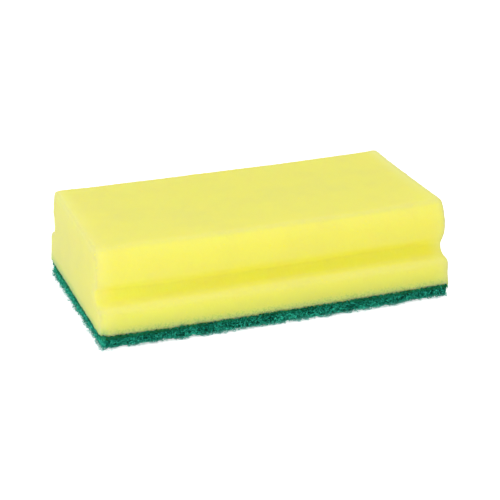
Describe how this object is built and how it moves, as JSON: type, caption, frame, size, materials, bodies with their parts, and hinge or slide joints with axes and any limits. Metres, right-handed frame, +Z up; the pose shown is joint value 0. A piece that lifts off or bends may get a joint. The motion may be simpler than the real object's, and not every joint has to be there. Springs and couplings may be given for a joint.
{
  "type": "cleaning sponge",
  "caption": "Finger-grip cleaning sponge: a soft foam block with a finger groove along each long side and a coarse fibre scouring pad bonded to its underside.",
  "frame": {"origin": "centre of the scouring pad's underside, on the surface the sponge lies on", "axes": "+X along the length and the finger grooves, +Y across the width, +Z up from the pad to the foam's top face"},
  "size_m": [0.151, 0.083, 0.04],
  "materials": {
    "foam": "yellow open-cell polyurethane foam, cut faces, soft and slightly translucent",
    "scouring_web": "dark blue-green nonwoven web of coarse crimped fibres, cut edges frayed"
  },
  "bodies": {
    "root": {"foam_block": "foam", "scouring_pad": "scouring_web"}
  },
  "joints": []
}
